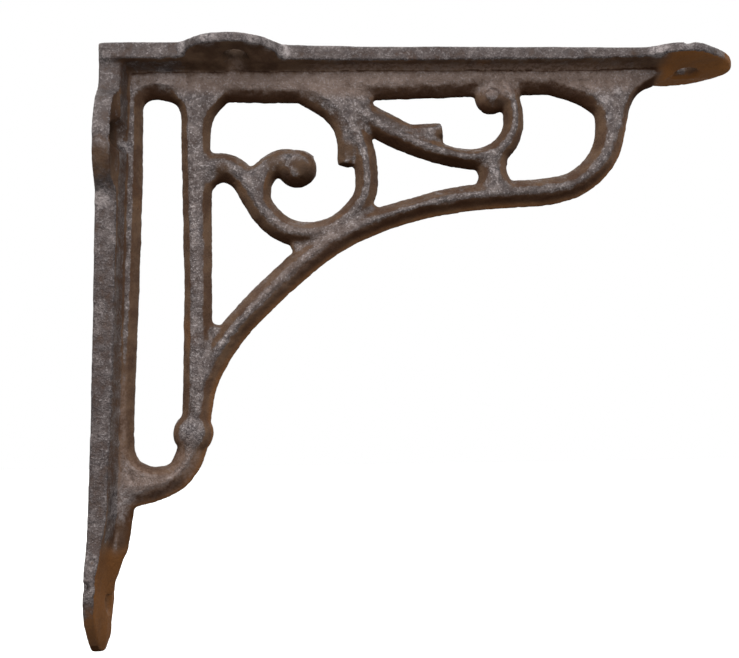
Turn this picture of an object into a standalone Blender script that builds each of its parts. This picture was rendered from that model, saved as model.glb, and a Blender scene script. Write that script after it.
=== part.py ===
# Ornate cast iron shelf bracket: one sand casting, two legs joined by an openwork web.
# +X runs out from the wall along the shelf leg, +Z is up, and the two screw ears are on the -Y side.
# The origin is the middle of the wall face, on the casting's mid-plane.
# Outlines are drawn as (out, drop): millimetres out from the wall and down from the shelf.
import math

import bmesh
import bpy
from mathutils import Vector

MM = 0.001

# Driving dimensions, in millimetres
REACH = 161.925
HEIGHT = 146.05
LEG_HALF_WIDTH = 7.5
PLATE_HALF_WIDTH = 8.1
SHOULDER_SHARE = 0.87
SHOULDER_SHARE_AT_EAR = 0.97
ROOT_RISE = 1.1
SHOULDER_RISE = 0.13

# Each leg by its distance from the corner: the thickness of its edges, how far its near edge and its
# thickened root stand from the mid-plane, and the middle, rim and hollow of its ear
WALL_LEG = {
    "length": HEIGHT,
    "edge": ((0, 5.6), (80, 5.0), (115, 4.3), (128, 2.8), (HEIGHT, 2.3)),
    "near": (
        (0, 8.6), (5, 7.9), (10.5, 7.8), (12, 8.6), (14.4, 10.7), (16.4, 11.8), (19.7, 12.8), (23, 13.4),
        (28.7, 13.2), (31.6, 12.6), (34, 11.2), (36.5, 9.5), (38, 8.8), (46, 8.4), (58, 8.2), (70, 7.7),
        (94, 7.5), (105, 7.8), (113.6, 8.2), (120, 8.9), (123, 9.5), (126, 10.7), (129.5, 11.4),
        (133.4, 11.4), (136, 10.8), (139, 9.2), (140.5, 7.8), (142.1, 6.1), (143.8, 4.2), (145.2, 2.0),
        (HEIGHT, 0.2),
    ),
    "root": ((0, 2.6), (80, 2.8), (100, 4.2), (118, 4.0), (130, 2.6)),
    "ear": 24.5,
    "rim": 4.5,
    "dish": 1.3,
}
SHELF_LEG = {
    "length": REACH,
    "edge": ((0, 4.5), (60, 3.9), (115, 3.3), (138, 2.7), (REACH, 2.3)),
    "near": (
        (0, 8.6), (5, 9.0), (15, 9.1), (19.5, 9.2), (21, 10.4), (23.3, 12.3), (25.5, 14.0), (28, 14.9),
        (32.5, 15.4), (35.5, 15.1), (38.5, 14.0), (40.8, 12.7), (42.8, 10.6), (44.6, 8.7), (47.5, 8.0),
        (57, 7.8), (66, 7.4), (80, 7.6), (100, 7.9), (130, 8.0), (137, 8.3), (139.6, 9.7), (142.2, 11.0),
        (146, 11.7), (148.5, 11.6), (150.5, 10.9), (153.9, 8.8), (156.1, 7.3), (158.4, 5.4), (160.4, 3.0),
        (REACH, 0.2),
    ),
    "root": ((0, 2.6), (115, 2.6), (125, 3.4), (140, 2.6)),
    "ear": 32.3,
    "rim": 2.6,
    "dish": 0.3,
}
EAR_HALF_LENGTH = 12.8
# How an ear fades along its leg, and how soon its rim reaches full height
EAR_POWERS = (2.5, 1.2)
RIM_GAIN = 2.5

PAD_HALF_WIDTH = 11.3
PAD_NECK = 24.6
PAD_ROUND = 14.8
PAD_BLUNT = 0.12
PAD_SIDE_SHIFT = 1.1
NECK_POWER = 1.5
# Sections over the neck, as shares of it, and over the pad's round, in degrees
NECK_STOPS = (0, 0.4, 0.7, 1)
ROUND_STOPS = (18, 36, 52, 66, 78)
LEAST_STOP_GAP = 0.6
# Sections start this far from the corner, clear of the mitre
CORNER_LENGTH = 10.0

FACE_INSET = 2.1
FACE_INSET_SHARE = 0.62
MOST_INSET_SHARE = 0.92
FACE_CROWN = 0.25
LAND_SHARE = 0.2
LAND_INSET_SHARE = 0.08

SCREW_RADIUS = 2.5
COUNTERSINK_RADIUS = 3.4
COUNTERSINK_DEPTH = 1.3
CUTTER_DEPTH = 9.0
CUTTER_ABOVE = 3.0
HOLE_SIDES = 20
EAR_HOLE_SIDE = 8.0
SHELF_EAR_HOLE_OUT = 33.4
WALL_EAR_HOLE_DROP = 23.3
PAD_HOLE_FROM_TIP = 12.0
SHELF_EAR_FACE = 3.4
WALL_EAR_FACE = 4.2
PAD_FACE = 2.9

IRON_BROWN = (0.072, 0.052, 0.043, 1.0)

# Bars of the web: (name, half depth, inset of the face, steps per span, stations), a station being
# (out, drop, half width). An inset of None means the common one.
BARS = (
    (
        "wall_rib", 2.8, 1.65, 1,
        (
            (7.6, 2.0, 2.2), (7.6, 15.0, 2.2), (7.6, 35.0, 2.3), (7.3, 62.0, 2.2), (6.8, 87.0, 2.15),
            (6.7, 97.0, 2.3), (6.5, 104.0, 2.8), (6.4, 108.0, 3.0),
        ),
    ),
    (
        "rib_tail", 2.85, 2.4, 1,
        (
            (6.6, 105.2, 2.6), (6.4, 111.0, 3.2), (6.2, 114.5, 2.9), (6.0, 118.0, 2.65),
            (5.6, 122.0, 2.4), (4.8, 125.0, 1.95), (3.8, 129.5, 1.6), (3.0, 133.0, 1.3),
        ),
    ),
    (
        "shelf_rib", 2.75, 2.8, 1,
        (
            (2.0, 6.1, 4.6), (14.0, 5.9, 4.4), (22.0, 6.4, 5.0), (32.0, 6.7, 5.5), (50.0, 6.7, 5.6),
            (80.0, 6.1, 4.9), (106.0, 5.6, 4.4), (124.0, 5.5, 4.2), (137.0, 5.0, 3.4), (141.0, 4.2, 2.6),
            (146.0, 2.9, 1.4),
        ),
    ),
    (
        "strut", 2.7, 1.95, 1,
        (
            (23.9, 5.0, 9.0), (23.9, 9.0, 8.8), (23.8, 12.0, 7.0), (23.7, 13.6, 5.35),
            (23.4, 15.6, 4.35), (23.1, 18.3, 3.9), (22.95, 22.0, 3.75), (23.4, 38.0, 3.7),
            (23.8, 58.0, 3.5), (23.9, 76.0, 3.5), (23.7, 94.0, 3.5),
        ),
    ),
    (
        "slot_head", 2.6, 3.25, 2,
        (
            (6.15, 19.0, 3.5), (6.2, 14.2, 3.5), (7.8, 10.2, 3.5), (11.6, 8.3, 3.5), (15.8, 8.5, 3.5),
            (20.3, 10.4, 3.4), (22.6, 15.0, 3.3),
        ),
    ),
    (
        "slot_foot", 2.5, None, 2,
        (
            (6.4, 96.0, 2.5), (6.7, 99.3, 2.5), (7.5, 101.9, 2.5), (9.4, 104.3, 2.5), (13.5, 105.8, 2.5),
            (17.0, 105.6, 2.5),
        ),
    ),
    (
        "foot_curl", 2.65, 2.8, 2,
        (
            (23.4, 95.0, 3.6), (22.2, 101.0, 3.6), (19.3, 105.5, 3.5), (14.6, 107.4, 4.0),
            (9.5, 107.9, 4.9), (5.0, 108.8, 4.2),
        ),
    ),
    (
        "brace", 2.9, 2.35, 2,
        (
            (23.8, 93.0, 3.4), (25.1, 84.5, 3.5), (28.4, 77.0, 3.5), (33.5, 69.6, 3.5),
            (42.8, 59.9, 3.6), (53.1, 51.0, 3.6), (63.8, 44.8, 3.4), (76.0, 40.6, 3.1),
            (88.0, 37.7, 3.4), (100.0, 36.4, 3.55), (110.5, 35.6, 3.6), (117.4, 34.2, 3.5),
            (122.4, 31.3, 3.5), (125.9, 27.5, 3.6), (127.9, 23.5, 3.75), (128.8, 19.5, 3.95),
            (129.2, 16.0, 4.35), (129.2, 12.4, 5.5), (129.0, 8.0, 7.6), (129.0, 3.6, 9.0),
        ),
    ),
    (
        "far_flare", 2.4, None, 2,
        (
            (130.8, 18.0, 2.1), (131.6, 14.7, 2.2), (132.7, 11.5, 2.2), (134.4, 8.8, 2.2),
            (137.2, 6.7, 2.0), (140.0, 5.4, 1.8), (143.0, 4.2, 1.4),
        ),
    ),
    (
        "corner_gusset", 2.5, 2.6, 1,
        (
            (113.0, 6.8, 2.9), (119.0, 8.5, 3.0), (123.6, 10.4, 3.1), (128.5, 14.0, 3.5),
        ),
    ),
    (
        "s_scroll", 2.65, None, 2,
        (
            (23.0, 29.4, 3.3), (30.2, 29.3, 3.85), (34.5, 31.7, 3.5), (37.6, 36.6, 3.5),
            (40.6, 41.4, 3.45), (45.1, 45.2, 3.35), (51.2, 46.5, 3.2), (57.5, 44.9, 3.1),
            (62.5, 41.0, 3.05), (65.4, 36.2, 2.95), (65.8, 31.2, 3.0), (65.1, 25.8, 3.2),
            (63.2, 20.4, 3.4), (60.0, 15.2, 3.4), (55.5, 10.8, 3.6), (49.0, 7.6, 3.6),
        ),
    ),
    (
        "s_scroll_root", 1.7, 1.2, 1,
        (
            (24.9, 37.2, 1.5), (26.1, 34.0, 1.6), (28.3, 31.9, 1.6), (31.4, 30.6, 1.6),
        ),
    ),
    (
        "s_scroll_thorn", 2.45, 2.2, 2,
        (
            (47.0, 7.2, 3.7), (52.5, 9.8, 4.15), (57.0, 13.0, 3.9), (60.1, 17.5, 3.2), (61.2, 22.0, 2.9),
            (61.0, 26.2, 2.5), (60.7, 28.7, 2.2),
        ),
    ),
    (
        "s_scroll_hook", 2.55, None, 2,
        (
            (39.4, 37.5, 2.3), (39.6, 33.2, 2.5), (41.4, 29.6, 3.1), (44.6, 27.9, 3.6),
            (47.5, 28.8, 4.4), (50.1, 29.4, 4.6), (52.3, 29.6, 3.5),
        ),
    ),
    (
        "s_scroll_heel", 2.3, None, 1,
        (
            (35.6, 32.6, 1.9), (38.7, 30.0, 1.9), (41.8, 27.7, 2.2), (45.0, 27.0, 2.6),
        ),
    ),
    (
        "leaf_scroll", 2.6, None, 2,
        (
            (58.5, 10.4, 3.5), (65.3, 15.4, 3.8), (70.5, 19.2, 3.4), (76.0, 22.1, 3.2),
            (82.0, 24.5, 3.0), (88.0, 26.4, 2.65), (93.0, 27.0, 2.8), (97.6, 26.0, 2.95),
            (101.3, 23.4, 2.95), (103.4, 19.5, 2.65), (103.8, 15.5, 2.7), (103.1, 11.4, 2.7),
            (101.5, 7.5, 3.2),
        ),
    ),
    (
        "leaf_root", 2.1, 1.6, 1,
        (
            (57.0, 8.3, 3.2), (62.0, 10.0, 2.8), (65.8, 11.8, 2.0), (67.6, 12.4, 1.2),
        ),
    ),
    (
        "leaf", 2.35, None, 2,
        (
            (66.0, 14.4, 2.5), (71.0, 17.4, 2.7), (76.4, 20.2, 2.7), (80.5, 20.6, 3.0),
            (83.8, 20.1, 2.7), (85.3, 19.9, 2.5),
        ),
    ),
    (
        "post", 2.55, 2.3, 1,
        (
            (97.6, 26.5, 4.6), (97.7, 29.4, 4.1), (98.0, 31.0, 3.8), (98.2, 33.0, 4.5),
            (98.3, 36.5, 5.4),
        ),
    ),
)

# Beads of the web: (name, out, drop, radius at the mid-plane, radius of the face, half depth)
BEADS = (
    ("foot_bead", 23.0, 95.5, 4.9, 3.2, 3.5),
    ("hook_bead", 48.4, 29.5, 4.95, 2.8, 3.7),
    ("leaf_scroll_bead", 98.1, 10.8, 4.2, 1.8, 3.2),
)
BEAD_SIDES = 16
# Points of a bead's dome as (share of the face radius, share of the half depth), and how far its rim
# swells halfway down
BEAD_DOME = ((0.0, 1.0), (0.62, 0.97), (1.0, 0.86))
BEAD_SWELL = 0.35

# Fillets that fill the sharpest corners between bars: (out, drop, radius)
FILLETS = ((28.0, 70.7, 1.7), (48.3, 49.7, 1.5), (67.2, 40.4, 1.5))
FILLET_HALF_DEPTH = 1.5
FILLET_FACE_SHARE = 0.7
FILLET_SIDES = 10


def clear_scene():
    for old in list(bpy.data.objects):
        bpy.data.objects.remove(old, do_unlink=True)


def cast_iron(name):
    material = bpy.data.materials.new(name)
    material.use_nodes = True
    shader = material.node_tree.nodes["Principled BSDF"]
    shader.inputs["Base Color"].default_value = IRON_BROWN
    shader.inputs["Metallic"].default_value = 0.55
    shader.inputs["Roughness"].default_value = 0.62
    return material


def place(out, drop, side):
    """A point of the drawing in the casting's own frame, in metres."""
    return Vector((out, side, HEIGHT / 2 - drop)) * MM


def finish_mesh(name, bm, material):
    bm.normal_update()
    bmesh.ops.recalc_face_normals(bm, faces=bm.faces)
    mesh = bpy.data.meshes.new(name)
    bm.to_mesh(mesh)
    bm.free()
    mesh.materials.append(material)
    mesh.shade_smooth()
    mesh.set_sharp_from_angle(angle=math.radians(40))
    obj = bpy.data.objects.new(name, mesh)
    bpy.context.scene.collection.objects.link(obj)
    return obj


def loft(name, sections, material):
    """A closed skin through rings of points that all have the same count."""
    bm = bmesh.new()
    rings = [[bm.verts.new(point) for point in section] for section in sections]
    for ring, following in zip(rings, rings[1:]):
        for i in range(len(ring)):
            j = (i + 1) % len(ring)
            bm.faces.new((ring[i], ring[j], following[j], following[i]))
    bm.faces.new(rings[0])
    bm.faces.new(rings[-1][::-1])
    return finish_mesh(name, bm, material)


def along(pairs, at):
    """The value at a distance, on the straight lines through the (distance, value) pairs."""
    for (start, low), (end, high) in zip(pairs, pairs[1:]):
        if at <= end:
            return low + (high - low) * (at - start) / (end - start)
    return pairs[-1][1]


def pad_width(from_tip):
    """Half width of a leg near its tip: a neck that flares, then half an ellipse."""
    if from_tip >= PAD_NECK:
        return LEG_HALF_WIDTH
    if from_tip >= PAD_ROUND:
        flare = (PAD_NECK - from_tip) / (PAD_NECK - PAD_ROUND)
        swell = math.sin(flare * math.pi / 2) ** NECK_POWER
        return LEG_HALF_WIDTH + (PAD_HALF_WIDTH - LEG_HALF_WIDTH) * swell
    share = min(1.0, (from_tip + PAD_BLUNT) / PAD_ROUND)
    return PAD_HALF_WIDTH * math.sqrt(1 - (1 - share) ** 2)


def leg_section(at, leg):
    """The section of a leg as (thickness, side) points, from the ear side's back corner round."""
    edge = along(leg["edge"], at)
    near = -along(leg["near"], at)
    width = pad_width(leg["length"] - at)
    into_pad = (at - leg["length"] + PAD_NECK) / (PAD_NECK - PAD_ROUND)
    shift = PAD_SIDE_SHIFT * min(1.0, max(0.0, into_pad))
    fade = min(1.0, width / LEG_HALF_WIDTH)
    root = edge + ROOT_RISE * fade
    root_side = along(leg["root"], at) * fade
    ear = (1 - min(1.0, abs(at - leg["ear"]) / EAR_HALF_LENGTH) ** EAR_POWERS[0]) ** EAR_POWERS[1]
    rim = edge + (leg["rim"] - edge) * min(1.0, RIM_GAIN * ear)
    plate = near - shift if into_pad > 0 else max(near, -PLATE_HALF_WIDTH)
    shoulder = shift + plate * (SHOULDER_SHARE + (SHOULDER_SHARE_AT_EAR - SHOULDER_SHARE) * ear)
    shoulder_rise = edge + SHOULDER_RISE
    return (
        (0.0, near),
        (rim, near),
        ((rim + shoulder_rise) / 2 - leg["dish"] * ear, (near + shoulder) / 2),
        (shoulder_rise, shoulder),
        (root, shift - root_side),
        (root, shift + root_side),
        (edge, shift + width),
        (0.0, shift + width),
    )


def leg_stops(leg):
    """Distances from the corner at which a leg's outline needs a section."""
    length = leg["length"]
    stops = [distance for distance, side in leg["near"] if distance > CORNER_LENGTH]
    stops += [length - PAD_NECK + (PAD_NECK - PAD_ROUND) * share for share in NECK_STOPS]
    stops += [length - PAD_ROUND * (1 - math.sin(math.radians(angle))) for angle in ROUND_STOPS]
    kept = []
    for stop in sorted(stops, reverse=True):
        if not kept or kept[-1] - stop > LEAST_STOP_GAP:
            kept.append(stop)
    return kept[::-1]


def angle_of_legs(material):
    """Both legs as one strip, mitred where the wall leg turns into the shelf leg."""
    sections = []
    for drop in reversed(leg_stops(WALL_LEG)):
        sections.append([place(thickness, drop, side) for thickness, side in leg_section(drop, WALL_LEG)])
    corner = zip(leg_section(0.0, WALL_LEG), leg_section(0.0, SHELF_LEG))
    sections.append([place(wall[0], shelf[0], wall[1]) for wall, shelf in corner])
    for out in leg_stops(SHELF_LEG):
        sections.append([place(out, thickness, side) for thickness, side in leg_section(out, SHELF_LEG)])
    return loft("bracket_casting", sections, material)


def smooth_path(stations, steps):
    """Stations with more between them, on a curve that passes through every one."""
    knots = [Vector(station) for station in stations]
    ends = [2 * knots[0] - knots[1]] + knots + [2 * knots[-1] - knots[-2]]
    path = []
    for before, start, end, after in zip(ends, ends[1:], ends[2:], ends[3:]):
        for step in range(steps):
            t = step / steps
            bend = 2 * before - 5 * start + 4 * end - after
            swing = 3 * (start - end) + after - before
            path.append(start + 0.5 * t * (end - before + t * (bend + t * swing)))
    return path + [knots[-1]]


def bar(name, half_depth, face_inset, steps, stations, material):
    """One bar of the web: widest on the mid-plane, drafted to a narrower face on each side."""
    path = smooth_path(stations, steps)
    sections = []
    for i, (out, drop, half_width) in enumerate(path):
        ahead = path[min(i + 1, len(path) - 1)] - path[max(i - 1, 0)]
        across = Vector((-ahead.y, ahead.x)).normalized()
        inset = min(FACE_INSET, FACE_INSET_SHARE * half_width)
        if face_inset:
            inset = min(face_inset, MOST_INSET_SHARE * half_width)
        profile = [(half_width, 0.0), (half_width - LAND_INSET_SHARE * inset, LAND_SHARE * half_depth)]
        profile += [(half_width - inset, half_depth), (0.0, half_depth + FACE_CROWN)]
        front = profile + [(-reach, side) for reach, side in profile[-2::-1]]
        ring = front + [(reach, -side) for reach, side in front[-2:0:-1]]
        sections.append(
            [place(out + across.x * reach, drop + across.y * reach, side) for reach, side in ring]
        )
    return loft(name, sections, material)


def turned(name, profile, centre, axis, across, sides, material):
    """A closed turned form about a line, from (radius, distance along the line) points in millimetres."""
    bm = bmesh.new()
    points = [bm.verts.new(centre + (across * reach + axis * height) * MM) for reach, height in profile]
    edges = [bm.edges.new(pair) for pair in zip(points, points[1:])]
    bmesh.ops.spin(
        bm,
        geom=points + edges,
        cent=centre,
        axis=axis,
        angle=math.tau,
        steps=sides,
        use_merge=True,
    )
    bmesh.ops.remove_doubles(bm, verts=bm.verts, dist=0.01 * MM)
    return finish_mesh(name, bm, material)


def bead(name, out, drop, radius, face_radius, half_depth, sides, material):
    """A round boss with a drafted rim and a domed face on each side."""
    profile = [(share * face_radius, height * half_depth) for share, height in BEAD_DOME]
    profile += [(0.5 * (radius + face_radius) + BEAD_SWELL, 0.5 * half_depth), (radius, 0.0)]
    profile += [(reach, -side) for reach, side in profile[-2::-1]]
    return turned(name, profile, place(out, drop, 0.0), Vector((0, 1, 0)), Vector((1, 0, 0)), sides, material)


def screw_hole(name, mouth, inward, across, material):
    """A cutter for a countersunk hole: its mouth on the leg's inner face, running back through the leg."""
    flare = (COUNTERSINK_RADIUS - SCREW_RADIUS) / COUNTERSINK_DEPTH
    profile = [(0.0, CUTTER_ABOVE), (COUNTERSINK_RADIUS + flare * CUTTER_ABOVE, CUTTER_ABOVE)]
    profile += [(SCREW_RADIUS, -COUNTERSINK_DEPTH), (SCREW_RADIUS, -CUTTER_DEPTH), (0.0, -CUTTER_DEPTH)]
    return turned(name, profile, mouth, inward, across, HOLE_SIDES, material)


def helper(obj):
    obj.hide_render = True
    obj.display_type = "WIRE"
    return obj


def combine(casting, other, operation):
    modifier = casting.modifiers.new(other.name, "BOOLEAN")
    modifier.operation = operation
    modifier.solver = "EXACT"
    modifier.object = helper(other)


def main():
    clear_scene()
    iron = cast_iron("cast_iron")
    casting = angle_of_legs(iron)
    for name, half_depth, face_inset, steps, stations in BARS:
        combine(casting, bar(name, half_depth, face_inset, steps, stations, iron), "UNION")
    for name, *sizes in BEADS:
        combine(casting, bead(name, *sizes, BEAD_SIDES, iron), "UNION")
    for i, (out, drop, radius) in enumerate(FILLETS):
        sizes = (radius, FILLET_FACE_SHARE * radius, FILLET_HALF_DEPTH)
        combine(casting, bead(f"fillet_{i + 1}", out, drop, *sizes, FILLET_SIDES, iron), "UNION")
    down = Vector((0, 0, -1))
    out = Vector((1, 0, 0))
    wall_pad = HEIGHT - PAD_HOLE_FROM_TIP
    shelf_pad = REACH - PAD_HOLE_FROM_TIP
    holes = (
        ("shelf_ear_hole", place(SHELF_EAR_HOLE_OUT, SHELF_EAR_FACE, -EAR_HOLE_SIDE), down, out),
        ("shelf_pad_hole", place(shelf_pad, PAD_FACE, PAD_SIDE_SHIFT), down, out),
        ("wall_ear_hole", place(WALL_EAR_FACE, WALL_EAR_HOLE_DROP, -EAR_HOLE_SIDE), out, down),
        ("wall_pad_hole", place(PAD_FACE, wall_pad, PAD_SIDE_SHIFT), out, down),
    )
    for name, mouth, inward, across in holes:
        combine(casting, screw_hole(name, mouth, inward, across, iron), "DIFFERENCE")


main()
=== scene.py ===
# Ornate cast iron shelf bracket: the finished casting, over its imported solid.
# A point of the drawing is (out, drop) in millimetres: out from the wall and down from the shelf.
import math

import bmesh
import bpy
import numpy as np
from mathutils import Matrix, Vector, noise


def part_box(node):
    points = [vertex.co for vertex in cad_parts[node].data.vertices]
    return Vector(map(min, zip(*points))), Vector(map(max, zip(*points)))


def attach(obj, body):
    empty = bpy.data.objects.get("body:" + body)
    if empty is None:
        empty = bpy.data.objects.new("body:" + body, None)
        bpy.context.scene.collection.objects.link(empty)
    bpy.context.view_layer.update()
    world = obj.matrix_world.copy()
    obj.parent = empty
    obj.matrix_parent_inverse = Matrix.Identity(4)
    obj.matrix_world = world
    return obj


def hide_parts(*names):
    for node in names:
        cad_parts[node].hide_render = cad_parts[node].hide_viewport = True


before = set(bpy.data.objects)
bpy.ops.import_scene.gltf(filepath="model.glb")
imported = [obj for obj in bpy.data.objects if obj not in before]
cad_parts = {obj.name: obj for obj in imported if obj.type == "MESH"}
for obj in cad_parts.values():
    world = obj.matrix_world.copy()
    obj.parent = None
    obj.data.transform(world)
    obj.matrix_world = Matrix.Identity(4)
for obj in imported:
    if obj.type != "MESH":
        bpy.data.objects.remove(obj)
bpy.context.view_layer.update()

mm = 0.001
lowCorner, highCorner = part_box("bracket_casting")
shelfReach = highCorner.x / mm                  # length of the shelf leg
wallHeight = (highCorner.z - lowCorner.z) / mm  # length of the wall leg


def place(out, drop, side):
    return Vector((out * mm, side * mm, highCorner.z - drop * mm))


def shapeObject(name, bm):
    bm.normal_update()
    bmesh.ops.recalc_face_normals(bm, faces=bm.faces)
    mesh = bpy.data.meshes.new(name)
    bm.to_mesh(mesh)
    bm.free()
    shape = bpy.data.objects.new(name, mesh)
    bpy.context.scene.collection.objects.link(shape)
    return shape


def nextRing(bm, ring):
    # extrude an open ring of vertices and hand back its copies in the same order
    edges = [bm.edges.get(pair) for pair in zip(ring, ring[1:] + ring[:1])]
    made = bmesh.ops.extrude_edge_only(bm, edges=edges)["geom"]
    fresh = {item for item in made if isinstance(item, bmesh.types.BMVert)}
    return [next(e.other_vert(v) for e in v.link_edges if e.other_vert(v) in fresh) for v in ring]


def sweep(name, sections):
    # a closed bar: one ring extruded from section to section, and both ends filled
    bm = bmesh.new()
    ring = bmesh.ops.create_circle(bm, segments=len(sections[0]), radius=1.0)["verts"]
    for index, section in enumerate(sections):
        if index:
            ring = nextRing(bm, ring)
        for vert, point in zip(ring, section):
            vert.co = point
    bmesh.ops.holes_fill(bm, edges=bm.edges, sides=0)
    return shapeObject(name, bm)


def turned(profile, steps):
    # a closed turned form about Z, from (radius, height) points in millimetres
    bm = bmesh.new()
    verts = [bm.verts.new((radius * mm, 0.0, height * mm)) for radius, height in profile]
    edges = [bm.edges.new(pair) for pair in zip(verts, verts[1:])]
    bmesh.ops.spin(
        bm, geom=verts + edges, cent=(0, 0, 0), axis=(0, 0, 1), angle=math.tau, steps=steps, use_merge=True
    )
    bmesh.ops.remove_doubles(bm, verts=bm.verts, dist=0.001 * mm)
    return bm


def readAlong(pairs, at):
    distances, values = zip(*pairs)
    return float(np.interp(at, distances, values))


# The two legs: one strip that turns at the corner, with a pad at each tip and two ears on the near side.
# Along each leg "edge" is its thickness, "near" how far its near edge stands from the mid-plane and
# "root" the half width of the raised strip under its rib, all by the distance from the corner.
legs = {
    "halfWidth": 7.5,
    "plate": 8.1,             # most of the near side that isn't an ear or a pad
    "rootRise": 1.1,          # how far the strip under the rib stands up
    "rootCurve": 1.6,         # 1 makes its slopes straight, more makes them hollow
    "shoulder": (0.87, 0.1),  # share of the near side where the slope starts, and what an ear adds
    "shoulderRise": 0.12,     # share of the rise that it starts with
    "earHalfLength": 12.8,
    "earCurve": (2.5, 1.2),   # powers that round an ear
    "rimGain": 2.5,           # how soon an ear's rim has its full thickness
    "rimCurve": 1.4,
    "spacing": 1.0,           # between one section and the next
    "wall": {
        "length": wallHeight,
        "edge": [(0, 5.6), (80, 5.0), (115, 4.3), (128, 2.8), (wallHeight, 2.3)],
        "near": [
            (0, 8.6), (5, 7.9), (10.5, 7.8), (12, 8.6), (14.4, 10.7), (16.4, 11.8), (19.7, 12.8), (23, 13.4),
            (28.7, 13.2), (31.6, 12.6), (34, 11.2), (36.5, 9.5), (38, 8.8), (46, 8.4), (58, 8.2), (70, 7.7),
            (94, 7.5), (105, 7.8), (113.6, 8.2), (120, 8.9), (123, 9.5), (126, 10.7), (129.5, 11.4),
            (133.4, 11.4), (136, 10.8), (139, 9.2), (140.5, 7.8), (142.1, 6.1), (143.8, 4.2), (145.2, 2.0),
            (wallHeight, 0.2),
        ],
        "root": [(0, 2.6), (80, 2.8), (100, 4.2), (118, 4.0), (130, 2.6)],
        "ear": 24.5,  # middle of the ear, the thickness of its rim and how far it is dished
        "rim": 4.5,
        "dish": 1.3,
    },
    "shelf": {
        "length": shelfReach,
        "edge": [(0, 4.5), (60, 3.9), (115, 3.3), (138, 2.7), (shelfReach, 2.3)],
        "near": [
            (0, 8.6), (5, 9.0), (15, 9.1), (19.5, 9.2), (21, 10.4), (23.3, 12.3), (25.5, 14.0), (28, 14.9),
            (32.5, 15.4), (35.5, 15.1), (38.5, 14.0), (40.8, 12.7), (42.8, 10.6), (44.6, 8.7), (47.5, 8.0),
            (57, 7.8), (66, 7.4), (80, 7.6), (100, 7.9), (130, 8.0), (137, 8.3), (139.6, 9.7), (142.2, 11.0),
            (146, 11.7), (148.5, 11.6), (150.5, 10.9), (153.9, 8.8), (156.1, 7.3), (158.4, 5.4), (160.4, 3.0),
            (shelfReach, 0.2),
        ],
        "root": [(0, 2.6), (115, 2.6), (125, 3.4), (140, 2.6)],
        "ear": 32.3,
        "rim": 2.6,
        "dish": 0.3,
    },
}
pads = {
    "halfWidth": 11.3,
    "neck": 24.6,      # where a pad starts, and where its rounded end does, back from the tip
    "round": 14.8,
    "flareCurve": 1.5,
    "blunt": 0.12,     # leaves the tip a narrow end
    "sideShift": 1.1,  # how far the pads lie towards the far side
    "tipTurns": 14,
}


def padHalfWidth(fromTip):
    # a neck that flares, then half an ellipse
    if fromTip >= pads["neck"]:
        return legs["halfWidth"]
    if fromTip >= pads["round"]:
        flare = (pads["neck"] - fromTip) / (pads["neck"] - pads["round"])
        wider = math.sin(flare * math.pi / 2) ** pads["flareCurve"]
        return legs["halfWidth"] + (pads["halfWidth"] - legs["halfWidth"]) * wider
    share = min(1.0, (fromTip + pads["blunt"]) / pads["round"])
    return pads["halfWidth"] * math.sqrt(1 - (1 - share) ** 2)


def legSection(at, leg):
    # (thickness, side) points round a leg, from the mounting face's near corner
    edge = readAlong(leg["edge"], at)
    near = -readAlong(leg["near"], at)
    width = padHalfWidth(leg["length"] - at)
    intoPad = (at - leg["length"] + pads["neck"]) / (pads["neck"] - pads["round"])
    shift = pads["sideShift"] * min(1.0, max(0.0, intoPad))
    far = shift + width
    fade = min(1.0, width / legs["halfWidth"])
    root = edge + legs["rootRise"] * fade
    rootSide = readAlong(leg["root"], at) * fade
    flat, pinch = legs["earCurve"]
    ear = (1 - min(1.0, abs(at - leg["ear"]) / legs["earHalfLength"]) ** flat) ** pinch
    rim = edge + (leg["rim"] - edge) * min(1.0, legs["rimGain"] * ear)
    plate = near - shift if intoPad > 0 else max(near, -legs["plate"])
    shoulderShare, earShare = legs["shoulder"]
    shoulder = shift + plate * (shoulderShare + earShare * ear)
    shoulderRise = edge + legs["rootRise"] * legs["shoulderRise"]
    inner = [(rim, near)]
    for step in (0.25, 0.5, 0.75):
        hollow = leg["dish"] * ear * 4 * step * (1 - step)
        rise = rim + (shoulderRise - rim) * step ** legs["rimCurve"]
        inner.append((rise - hollow, near + (shoulder - near) * step))
    inner += [(shoulderRise, shoulder)]
    for step in (0.35, 0.7):
        rise = shoulderRise + (root - shoulderRise) * step ** legs["rootCurve"]
        inner.append((rise, shoulder + (shift - rootSide - shoulder) * step))
    inner += [(root, shift - rootSide), (root, shift), (root, shift + rootSide)]
    for step in (0.35, 0.7):
        rise = root + (edge - root) * (1 - (1 - step) ** legs["rootCurve"])
        inner.append((rise, shift + rootSide + (width - rootSide) * step))
    return [(0.0, near)] + inner + [(edge, far), (0.0, far), (0.0, shift)]


def legStops(length):
    straight = np.arange(legs["spacing"], length - pads["round"], legs["spacing"])
    turns = np.linspace(0, math.pi / 2, pads["tipTurns"])
    return list(straight) + [length - pads["round"] * (1 - math.sin(turn)) for turn in turns]


def buildLegs():
    wallLeg, shelfLeg = legs["wall"], legs["shelf"]
    sections = []
    for drop in reversed(legStops(wallHeight)):
        sections.append([place(thick, drop, side) for thick, side in legSection(drop, wallLeg)])
    corner = zip(legSection(0.0, wallLeg), legSection(0.0, shelfLeg))
    sections.append([place(wall[0], shelf[0], wall[1]) for wall, shelf in corner])
    for out in legStops(shelfReach):
        sections.append([place(out, thick, side) for thick, side in legSection(out, shelfLeg)])
    return sweep("legs", sections)


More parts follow.
